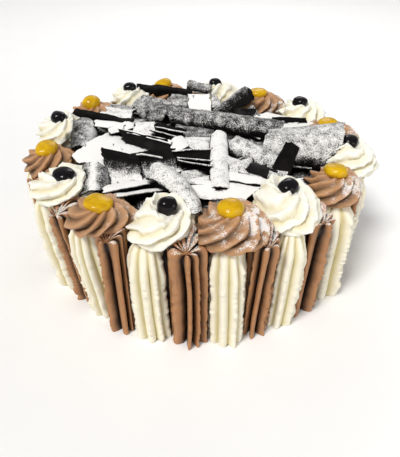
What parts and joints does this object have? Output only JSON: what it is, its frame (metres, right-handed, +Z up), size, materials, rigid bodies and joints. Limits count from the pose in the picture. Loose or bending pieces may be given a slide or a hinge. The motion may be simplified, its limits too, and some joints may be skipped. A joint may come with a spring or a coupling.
{
  "type": "black forest cake",
  "caption": "Round cream-coated cake piped with upright columns round the side, a rim of rosettes topped with cherries, and a heap of curled dark chocolate shavings.",
  "frame": {"origin": "centre of the cake's flat underside", "axes": "+Z up, -Y towards the front that the picture shows, +X to the right seen from the front"},
  "size_m": [0.2631, 0.2643, 0.1082],
  "materials": {
    "white_cream": "soft satin whipped cream, slightly ivory",
    "brown_cream": "satin chocolate cream, light brown, darker in the grooves",
    "yellow_cherry": "glossy candied yellow cherry",
    "dark_cherry": "wet, nearly black preserved cherry",
    "chocolate": "dark chocolate dusted with icing sugar"
  },
  "bodies": {
    "root": {"brown_column_01": "brown_cream", "brown_column_02": "brown_cream", "brown_column_03": "brown_cream", "brown_column_04": "brown_cream", "brown_column_05": "brown_cream", "brown_column_06": "brown_cream", "brown_column_07": "brown_cream", "brown_column_08": "brown_cream", "brown_column_09": "brown_cream", "brown_column_10": "brown_cream", "brown_column_11": "brown_cream", "brown_column_12": "brown_cream", "brown_column_13": "brown_cream", "brown_column_14": "brown_cream", "brown_column_15": "brown_cream", "brown_column_16": "brown_cream", "brown_rosette_01": "brown_cream", "brown_rosette_03": "brown_cream", "brown_rosette_05": "brown_cream", "brown_rosette_07": "brown_cream", "brown_rosette_09": "brown_cream", "brown_rosette_11": "brown_cream", "brown_rosette_13": "brown_cream", "brown_rosette_15": "brown_cream", "cake_and_white_columns": "white_cream", "chocolate_heap": "chocolate", "curl_back": "chocolate", "curl_bent": "chocolate", "curl_facing": "chocolate", "curl_front_left": "chocolate", "curl_left": "chocolate", "curl_long": "chocolate", "curl_middle": "chocolate", "curl_wide": "chocolate", "dark_cherry_02": "dark_cherry", "dark_cherry_04": "dark_cherry", "dark_cherry_06": "dark_cherry", "dark_cherry_08": "dark_cherry", "dark_cherry_10": "dark_cherry", "dark_cherry_12": "dark_cherry", "dark_cherry_14": "dark_cherry", "dark_cherry_16": "dark_cherry", "white_rosette_02": "white_cream", "white_rosette_04": "white_cream", "white_rosette_06": "white_cream", "white_rosette_08": "white_cream", "white_rosette_10": "white_cream", "white_rosette_12": "white_cream", "white_rosette_14": "white_cream", "white_rosette_16": "white_cream", "yellow_cherry_01": "yellow_cherry", "yellow_cherry_03": "yellow_cherry", "yellow_cherry_05": "yellow_cherry", "yellow_cherry_07": "yellow_cherry", "yellow_cherry_09": "yellow_cherry", "yellow_cherry_11": "yellow_cherry", "yellow_cherry_13": "yellow_cherry", "yellow_cherry_15": "yellow_cherry"}
  },
  "joints": []
}
